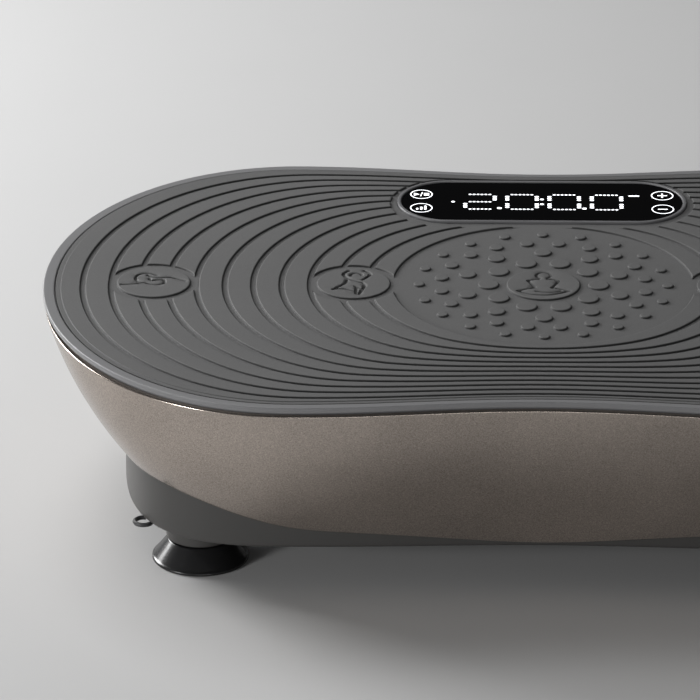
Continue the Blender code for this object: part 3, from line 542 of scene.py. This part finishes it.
def rib_place(points):
    """For each point, its share of the way from the ring to the edge, and the local width."""
    start, stop, width = rib_columns(FINE)
    first = FINE["end"] // 2
    part = slice(first, FINE["end"] + FINE["side"] // 2 + 1)
    start, stop, width = start[part], stop[part], width[part]
    steps = np.arange(len(start))
    target = np.abs(points)
    lower = np.zeros(len(points))
    upper = np.full(len(points), len(start) - 1.0)

    def ends(at_step):
        a = np.column_stack([np.interp(at_step, steps, start[:, k]) for k in (0, 1)])
        b = np.column_stack([np.interp(at_step, steps, stop[:, k]) for k in (0, 1)])
        return a, b

    for _ in range(24):
        middle = (lower + upper) / 2
        a, b = ends(middle)
        turn = cross(b - a, target - a)
        lower = np.where(turn > 0, middle, lower)
        upper = np.where(turn > 0, upper, middle)
    a, b = ends(lower)
    span = b - a
    share = ((target - a) * span).sum(axis=1) / (span ** 2).sum(axis=1)
    share = np.where(np.hypot(*target.T) < RING_Y * 0.9, -1.0, share)
    return share, np.interp(lower, steps, width)


def arc(x, y, radius, start, stop, steps=14):
    """Part of a circle from start to stop degrees."""
    angle = np.radians(np.linspace(start, stop, steps))
    return np.column_stack([x + radius * np.cos(angle), y + radius * np.sin(angle)])


def sweep(*points, steps=5):
    """Smooth line through a few points."""
    padded = [points[0], *points, points[-1]]
    line = []
    for a, b, c, d in zip(padded, padded[1:], padded[2:], padded[3:]):
        for i in range(steps):
            t = i / steps
            line.append([0.5 * (2 * q + (r - p) * t + (2 * p - 5 * q + 4 * r - s) * t * t
                                + (3 * q - p - 3 * r + s) * t ** 3) for p, q, r, s in zip(a, b, c, d)])
    line.append(points[-1])
    return np.array(line)


def seated_figure():
    """Plain line figure sitting with crossed legs."""
    return [arc(0.0, 11.4, 3.9, -60, 240), sweep((-2.2, 6.4), (-5.4, 6.0), (-8.2, 4.4)),
            sweep((-8.2, 4.4), (-4.4, -4.8)), sweep((-4.4, -4.8), (-9.0, -6.2), (-13.6, -8.8)),
            sweep((2.2, 6.4), (5.4, 6.0), (8.2, 4.4)),
            sweep((8.2, 4.4), (4.4, -4.8)), sweep((4.4, -4.8), (9.0, -6.2), (13.6, -8.8)),
            sweep((-13.6, -8.8), (-6.0, -13.0), (4.0, -13.6), (13.6, -8.8)),
            sweep((-4.0, -9.2), (3.0, -10.4), (9.0, -9.0))]


def stretching_figure():
    """Plain line figure with raised arms, leaning into a lunge."""
    return [arc(1.2, 10.0, 3.0, 0, 200), sweep((-2.6, 16.0), (-5.6, 11.2), (-2.4, 5.2), (4.4, 0.6)),
            sweep((5.2, 16.0), (8.8, 11.2), (4.6, 4.0)), sweep((4.4, 0.6), (5.8, -3.6), (2.8, -14.6)),
            sweep((-3.8, 3.8), (-5.0, -1.2), (-11.0, -8.4)),
            sweep((-11.0, -8.4), (-5.6, -7.4), (-0.4, -9.8)),
            sweep((0.6, -4.2), (3.8, -6.8)), sweep((1.4, -6.4), (1.4, -14.0))]


def wave():
    """Plain curling wave."""
    return [arc(-3.8, 4.8, 6.2, 35, 258),
            sweep((-5.1, -1.3), (0.8, -3.6), (5.4, -1.8), (5.0, 2.4), (0.6, 2.2)),
            sweep((-3.6, 8.2), (1.2, 5.4), (9.2, 5.6), (16.6, 1.2)),
            sweep((-17.0, -3.8), (-10.4, -2.8), (-5.1, -1.3)), sweep((-2.6, 4.4), (-1.4, 1.6), (0.6, 2.2))]


DISCS = ((0.0, seated_figure), (-DISC_X, stretching_figure), (DISC_X, stretching_figure),
         (-OUTER_DISC_X, wave), (OUTER_DISC_X, wave))


def strokes():
    """All the lines sunk into the picture discs, in plan."""
    return [line + (x, 0.0) for x, figure in DISCS for line in figure()]


def line_distance(points, line):
    """Distance from each point to a polyline."""
    best = np.full(len(points), 1e9)
    for a, b in zip(line, line[1:]):
        span = b - a
        t = np.clip((points - a) @ span / max(span @ span, 1e-9), 0, 1)
        best = np.minimum(best, np.linalg.norm(points - a - t[:, None] * span, axis=1))
    return best


def stroke_outline(line, reach):
    """Closed outline at a given distance round a line, with round ends."""
    along = np.gradient(line, axis=0)
    along /= np.linalg.norm(along, axis=1)[:, None]
    normal = np.column_stack([-along[:, 1], along[:, 0]])
    caps = []
    for end, heading in ((-1, along[-1]), (0, -along[0])):
        facing = math.atan2(heading[1], heading[0])
        turn = facing + np.radians(np.linspace(60, -60, 4))
        caps.append(line[end] + reach * np.column_stack([np.cos(turn), np.sin(turn)]))
    return np.concatenate([line + normal * reach, caps[0], (line - normal * reach)[::-1], caps[1]])


def dots():
    """Centre and radius of each massage dot."""
    places = []
    for ring, count, offset, radius in DOT_RINGS:
        for i in range(count):
            angle = 2 * math.pi * (i + offset) / count
            places.append((ring * math.cos(angle), ring * math.sin(angle), radius))
    return places


def mat_face(points):
    """Height of the mat's moulded face at each plan point, and its painted shade, darker at the foot of
    each wall and in the sunk lines.
    """
    share, width = rib_place(points)
    half = groove_width(width) / 2
    ribs = share * width
    for groove in range(1, GROOVES + 1):
        centre = GROOVE_STEP * groove * width - half
        ribs = np.minimum(ribs, np.abs(share * width - centre) - half)
    clear = pill_distance(points, DISPLAY_Y - CLEARANCE_SHIFT) - DISPLAY_CLEARANCE
    solid = np.full(len(points), -1.0)
    for x, _ in DISCS:
        reach = np.hypot(points[:, 0] - x, points[:, 1])
        clear = np.minimum(clear, reach - DISC_RADIUS - DISC_CLEARANCE)
        solid = np.maximum(solid, DISC_RADIUS - reach)
    for x, y, radius in dots():
        solid = np.maximum(solid, radius - np.hypot(points[:, 0] - x, points[:, 1] - y))
    raised = np.maximum(np.minimum(ribs, clear), solid)
    z = MAT_TOP - RELIEF + RELIEF * ramp(raised, WALL_RAMP)
    # Painted shade: colour factor darkest where each wall meets the floor.
    tone_and_painted_shade = ramp(raised, WALL_PAINTED_SHADE)
    border = width * (1 - share) - BORDER_WIDTH
    at_edge = share > EDGE_SHARE
    z -= BORDER_DROP * (1 - ramp(border, BORDER_RAMP)) * at_edge
    # Painted shade along the foot of the edge step.
    tone_and_painted_shade *= np.where(at_edge, ramp(border, BORDER_PAINTED_SHADE), 1.0)
    near = np.abs(points[:, 1]) < DISC_RADIUS
    sunk = np.full(near.sum(), 1e9)
    for line in strokes():
        sunk = np.minimum(sunk, line_distance(points[near], line))
    sunk -= STROKE_HALF_WIDTH
    z[near] -= STROKE_DEPTH * (1 - ramp(sunk, STROKE_RAMP))
    # Painted shade: the floors of the sunk lines are darker.
    tone_and_painted_shade[near] *= ramp(sunk, STROKE_PAINTED_SHADE)
    return z, tone_and_painted_shade


def ramp(distance, steps):
    """Value at each distance along a ramp of (distance, value) steps."""
    return np.interp(distance, [reach for reach, _ in steps], [lift for _, lift in steps])


def mat_loops():
    """Closed plan loops along which the mat's face bends."""
    start, stop, width = rib_columns(COARSE)
    half = groove_width(width) / 2
    reaches = [reach for reach, _ in WALL_RAMP]

    def rib_loop(crossed):
        return start + (stop - start) * (crossed / width)[:, None]

    loops = [rib_loop(width)]
    loops += [rib_loop(width - BORDER_WIDTH - reach) for reach, _ in BORDER_RAMP]
    loops += [rib_loop(np.full(len(width), reach)) for reach in reaches]
    for groove in range(1, GROOVES + 1):
        centre = GROOVE_STEP * groove * width - half
        for reach in reaches:
            loops += [rib_loop(centre - half - reach), rib_loop(centre + half + reach)]
    loops += [pill(BEZEL_WIDTH + FIT_GAP)]
    loops += [pill(DISPLAY_CLEARANCE + reach, DISPLAY_Y - CLEARANCE_SHIFT) for reach in reaches]
    for x, _ in DISCS:
        for reach in reaches:
            loops += [circle(x, 0, DISC_RADIUS - reach, 72)]
            loops += [circle(x, 0, DISC_RADIUS + DISC_CLEARANCE + reach, 72)]
    for x, y, radius in dots():
        loops += [circle(x, y, radius - reach) for reach in reaches]
    for line in strokes():
        loops += [stroke_outline(line, STROKE_HALF_WIDTH + reach) for reach, _ in STROKE_RAMP]
    return loops


def build_mat():
    """Moulded tread: ribs, picture discs and massage dots stand out of one sheet."""
    loops = mat_loops()
    points = np.concatenate(loops)
    edges = []
    for loop in loops:
        first = len(edges)
        edges += [(first + i, first + (i + 1) % len(loop)) for i in range(len(loop))]
    result = geometry.delaunay_2d_cdt([Vector(p) for p in points], edges, [], 0, 1e-4, False)
    plan = np.array([tuple(p) for p in result[0]])
    faces = np.array([tuple(face) for face in result[2]])
    centres = plan[faces].mean(axis=1)
    share, _ = rib_place(centres)
    inside = (share < 1.0) & (pill_distance(centres) > BEZEL_WIDTH + FIT_GAP)
    faces = faces[inside]
    a, b, c = (plan[faces[:, k]] for k in range(3))
    turned_over = cross(b - a, c - a) < 0
    faces[turned_over] = faces[turned_over][:, ::-1]
    z, tone_and_painted_shade = mat_face(plan)
    sheet = new_piece("tread_mat_relief", at(plan, z), faces.tolist(), PAINTS["mat"])
    # Painted shade per point, kept as a colour layer that the mat's paint multiplies by.
    painted_shade_layer = sheet.data.color_attributes.new(PAINTED_SHADE, 'FLOAT_COLOR', 'POINT')
    painted_shade_layer.data.foreach_set("color", np.column_stack([tone_and_painted_shade, tone_and_painted_shade, tone_and_painted_shade, np.ones(len(tone_and_painted_shade))]).ravel())
    add_skirt(sheet, low("tread_mat").z)
    shade(sheet, MAT_SHARP)
    return finish_piece(sheet, "platform", "tread_mat")


def add_skirt(sheet, bottom):
    """Side walls from a sheet's open edges down to the given height."""
    work = bmesh.new()
    work.from_mesh(sheet.data)
    bmesh.ops.delete(work, geom=[v for v in work.verts if not v.link_faces], context='VERTS')
    open_edges = [edge for edge in work.edges if edge.is_boundary]
    made = bmesh.ops.extrude_edge_only(work, edges=open_edges)["geom"]
    for item in made:
        if isinstance(item, bmesh.types.BMVert):
            item.co.z = bottom * MM
    work.to_mesh(sheet.data)
    work.free()


# ---------------------------------------------------------------- deck and shell

def build_deck():
    """Rigid deck with a softly rounded, overhanging rim round the mat's recess."""
    rim_low = DECK_TOP - RIM_THICKNESS
    section = fillet([(1.4, rim_low), (0.0, rim_low), (0.0, DECK_TOP), (RIM_BAND, DECK_TOP),
                      (RIM_BAND, RECESS_FLOOR)], RIM_ROUNDING)
    rows = [at(shell_outline(DECK_UNDERSIDE, SKIRT_INSET), z) for z in (DECK_UNDERSIDE, rim_low)]
    rows += [at(deck_outline(inset), z) for inset, z in section]
    deck = loft("deck_plate_rim", rows, PAINTS["deck"])
    hole = loft("window", [at(pill(BEZEL_WIDTH + FIT_GAP), z) for z in (DECK_UNDERSIDE - 5, DECK_TOP + 5)],
                PAINTS["deck"])
    combine(deck, hole, 'DIFFERENCE')
    return finish_piece(deck, "platform", "deck_plate")


def lower_edge(inset):
    """Height of the shell's lower edge in each column, where it meets the base's clearance."""
    wall = base_outline(-SHELL_CLEARANCE, FINE)
    angle = np.arctan2(wall[:, 1], wall[:, 0])
    order = np.argsort(angle)
    lower = np.full(len(COARSE["sign"]), SHELL_LOW)
    upper = np.full(len(COARSE["sign"]), SHELL_TOP - 20)
    for _ in range(30):
        middle = (lower + upper) / 2
        x, y = shell_outline(middle, inset).T
        limit = np.interp(np.arctan2(y, x), angle[order], np.hypot(*wall.T)[order], period=2 * math.pi)
        beyond = np.hypot(x, y) > limit
        upper = np.where(beyond, middle, upper)
        lower = np.where(beyond, lower, middle)
    return upper


def build_shell():
    """Tapered metallic skirt with rounded edges and a flange up under the deck."""
    edge = lower_edge(0.0)
    inner_edge = lower_edge(SHELL_WALL)
    rows = []
    for inset, lift in SHELL_EDGE:
        rows.append(at(shell_outline(edge + lift, inset), edge + lift))
    bottom = edge + SHELL_EDGE[-1][1]
    top = SHELL_TOP - 0.8
    for share in np.linspace(0, 1, SHELL_ROWS)[1:]:
        z = bottom + (top - bottom) * share
        rows.append(at(shell_outline(z, 0.0), z))
    for inset, drop in SHELL_BROW:
        rows.append(at(shell_outline(SHELL_TOP - drop, inset), SHELL_TOP - drop))
    flange = DECK_UNDERSIDE - 0.6
    x, y = deck_outline(0.0).T
    at_display = (np.abs(x) < DISPLAY_HALF_LENGTH + BEZEL_WIDTH + 3) & (y > 0)
    width = np.where(at_display, 1.0, FLANGE_WIDTH)
    for z, inset in ((flange, 0.0), (flange, width), (flange - FLANGE_THICKNESS, width),
                     (flange - FLANGE_THICKNESS, 0.0)):
        rows.append(at(shell_outline(z, SHELL_WALL + inset), z))
    for share in (0.75, 0.5, 0.25, 0.0):
        z = inner_edge + (flange - FLANGE_THICKNESS - inner_edge) * share
        rows.append(at(shell_outline(z, SHELL_WALL), z))
    shell = loft("side_shell_skin", rows, PAINTS["shell"], looped=True)
    return finish_piece(shell, "platform", "side_shell")


# ---------------------------------------------------------------- base and feet

def build_base():
    """Moulded tub with rounded lower edge, foot bosses, pillars and the two panel holes."""
    section = fillet([(12.0, BASE_BOTTOM), (0.0, BASE_BOTTOM), (0.0, BASE_WALL_TOP),
                      (BASE_WALL, BASE_WALL_TOP), (BASE_WALL, BASE_FLOOR)], BASE_ROUNDING)
    paint = PAINTS["base"]
    tray = loft("base_tray_shell", [at(base_outline(inset), z) for inset, z in section], paint)
    inside = BASE_FLOOR - 1
    boss = fillet([(NEAR_AXIS, BOSS_BOTTOM), (BOSS_RADIUS, BOSS_BOTTOM), (BOSS_RADIUS, inside),
                   (NEAR_AXIS, inside)], BOSS_ROUNDING)
    pillar = [(PILLAR_RADIUS, PILLAR_TOP), (PILLAR_RADIUS, inside)]
    hole = [(STUD_HOLE_RADIUS, BASE_FLOOR + 2), (STUD_HOLE_RADIUS, BOSS_BOTTOM - 2)]
    for x in (-FOOT_X, FOOT_X):
        for y in (-FOOT_Y, FOOT_Y):
            combine(tray, turned("boss", boss[::-1], (x, y), paint), 'UNION')
            pillar_y = math.copysign(PILLAR_Y, y)
            combine(tray, turned("pillar", pillar, (x, pillar_y), paint, 40), 'UNION')
            combine(tray, turned("stud_hole", hole, (x, y), paint, 24), 'DIFFERENCE')
    for y, width in PANEL_HOLES:
        cutter = block("panel_hole", (20, width, PANEL_HOLE_HEIGHT), (BASE_HALF_LENGTH, y, PANEL_Z))
        combine(tray, cutter, 'DIFFERENCE')
    return finish_piece(tray, "base", "base_tray")


def build_feet():
    """Glossy rubber suction feet with a rolled lip and a hollow underside."""
    outer = fillet([(STUD_HOLE_RADIUS, FOOT_TOP), (17.0, FOOT_TOP), (24.6, 2.2), (25.6, 1.4), (25.5, 0.0),
                    (22.0, 0.0), (12.0, 4.0), (STUD_HOLE_RADIUS, 4.5)], 0.7, 3)
    for side, x in (("left", -FOOT_X), ("right", FOOT_X)):
        for end, y in (("front", -FOOT_Y), ("rear", FOOT_Y)):
            rows = [at(circle(x, y, radius, 96), z) for radius, z in reversed(outer)]
            foot = loft(f"suction_foot_{end}_{side}", rows, PAINTS["foot_rubber"], looped=True)
            finish_piece(foot, "base", f"foot_{end}_{side}")


# ---------------------------------------------------------------- display

def build_display():
    """Glossy black window in a slim rounded bezel."""
    back = DECK_UNDERSIDE - 1.0
    shelf = LENS_TOP - 3.6
    outer = fillet([(BEZEL_WIDTH, back), (BEZEL_WIDTH, BEZEL_TOP), (0.3, BEZEL_TOP), (0.3, shelf)], 0.7)
    section = outer + [np.array(p) for p in ((-2.0, shelf), (-2.0, back))]
    bezel = loft("display_bezel_ring", [at(pill(grow), z) for grow, z in section],
                 PAINTS["display_trim"], looped=True)
    finish_piece(bezel, "platform", "display_bezel")
    rows = [at(pill(0.0), LENS_TOP - 3.0), at(pill(0.0), LENS_TOP - 0.3), at(pill(-0.1), LENS_TOP - 0.08),
            at(pill(-0.3), LENS_TOP)]
    lens = loft("display_window", rows, PAINTS["display_lens"])
    finish_piece(lens, "platform", "display_lens")


def bar(x, y, width, height, rounding=0.45):
    """Small lit mark with rounded corners, as a closed plan loop."""
    reach = min(rounding, width / 2, height / 2)
    corners = ((1, 1, 0), (-1, 1, 90), (-1, -1, 180), (1, -1, 270))
    return np.concatenate([arc(x + sx * (width / 2 - reach), y + sy * (height / 2 - reach), reach,
                               turn, turn + 90, 5) for sx, sy, turn in corners])


def digit(x, segments):
    """One digit of small lit dashes and dots in the usual seven segments."""
    middle = DIGIT_BASE + DIGIT_HEIGHT / 2
    marks = []
    for segment, y in (("a", DIGIT_BASE + DIGIT_HEIGHT), ("g", middle), ("d", DIGIT_BASE)):
        if segment in segments:
            marks += [bar(x + DASH_STEP * (i - 2.5), y, *DASH) for i in range(6)]
    for segment, side, rise in (("f", -1, 1), ("b", 1, 1), ("e", -1, -1), ("c", 1, -1)):
        if segment in segments:
            y = middle + rise * SEGMENT_RISE
            marks += [bar(x + side * DIGIT_HALF_WIDTH, y + DOT_STEP * i, *DOT) for i in (-1, 0, 1)]
    return marks


def build_digits():
    """Lit time, the small indicator marks and the symbols of the four touch buttons."""
    marks = [mark for x, segments in DIGITS for mark in digit(x, segments)]
    marks += [bar(*indicator) for indicator in INDICATORS]
    top, bottom = BUTTON_ROWS
    play = np.array([(-4.1, -2.0), (-1.0, 0.0), (-4.1, 2.0)]) + (-BUTTON_X, top)
    slash = np.array([(-0.8, -2.7), (-0.2, -2.7), (0.8, 2.7), (0.2, 2.7)]) + (-BUTTON_X, top)
    marks += [play, slash, bar(-BUTTON_X + 2.75, top, 2.8, 3.4, 0.2)]
    for i in range(3):
        marks.append(bar(-BUTTON_X + 2.2 * (i - 1), bottom - 1.4 + 0.8 * i, 1.2, 2.2 + 1.6 * i, 0.3))
    marks += [bar(BUTTON_X, top, *SIGN_BAR), bar(BUTTON_X, top + 1.6, *SIGN_STUB),
              bar(BUTTON_X, top - 1.6, *SIGN_STUB), bar(BUTTON_X, bottom, *SIGN_BAR)]
    z = LENS_TOP + LIGHT_LIFT
    vertices = []
    faces = []
    for mark in marks:
        faces.append(tuple(range(len(vertices), len(vertices) + len(mark))))
        vertices += at(mark, z).tolist()
    for x in (-BUTTON_X, BUTTON_X):
        for y in BUTTON_ROWS:
            faces += band_faces(2, 48, first=len(vertices))
            for radius in (BUTTON_RADIUS + BUTTON_LINE, BUTTON_RADIUS - BUTTON_LINE):
                vertices += at(circle(x, y, radius, 48), z).tolist()
    lights = new_piece("display_lights", vertices, faces, PAINTS["digits"])
    finish_piece(lights, "platform")


# ---------------------------------------------------------------- stage

def area_light(name, place, target, size, power):
    """Soft rectangular light, in metres and watts, aimed at a point."""
    data = bpy.data.lights.new(name, 'AREA')
    data.shape = 'RECTANGLE'
    data.size, data.size_y = size
    data.energy = power
    lamp = bpy.data.objects.new(name, data)
    bpy.context.scene.collection.objects.link(lamp)
    lamp.location = place
    lamp.rotation_euler = (Vector(target) - Vector(place)).to_track_quat('-Z', 'Y').to_euler()


def build_stage():
    """Pale floor, soft studio lights from the left, and the camera."""
    corners = [(-FLOOR_HALF, -FLOOR_HALF, 0), (FLOOR_HALF, -FLOOR_HALF, 0), (FLOOR_HALF, FLOOR_HALF, 0),
               (-FLOOR_HALF, FLOOR_HALF, 0)]
    floor_paint = surface("floor_paint", FLOOR_COLOUR, 0.85, variation=0.02, relief=0.0)
    new_piece("floor", corners, [(0, 1, 2, 3)], floor_paint)
    for light in LIGHTS:
        area_light(*light)
    world = bpy.data.worlds.new("studio")
    world.use_nodes = True
    world.node_tree.nodes["Background"].inputs["Color"].default_value = (1.0, 1.0, 1.0, 1.0)
    world.node_tree.nodes["Background"].inputs["Strength"].default_value = WORLD_STRENGTH
    scene = bpy.context.scene
    scene.world = world
    scene.view_settings.view_transform = 'Standard'
    data = bpy.data.cameras.new("camera")
    data.lens = CAMERA_LENS
    data.sensor_width = 36.0
    data.clip_end = 50.0
    camera = bpy.data.objects.new("camera", data)
    scene.collection.objects.link(camera)
    camera.location = CAMERA_PLACE
    camera.rotation_euler = (math.radians(90 - CAMERA_TILT), 0.0, math.radians(CAMERA_TURN))
    scene.camera = camera


paint_nodes()
build_mat()
build_deck()
build_shell()
build_base()
build_feet()
build_display()
build_digits()
build_stage()
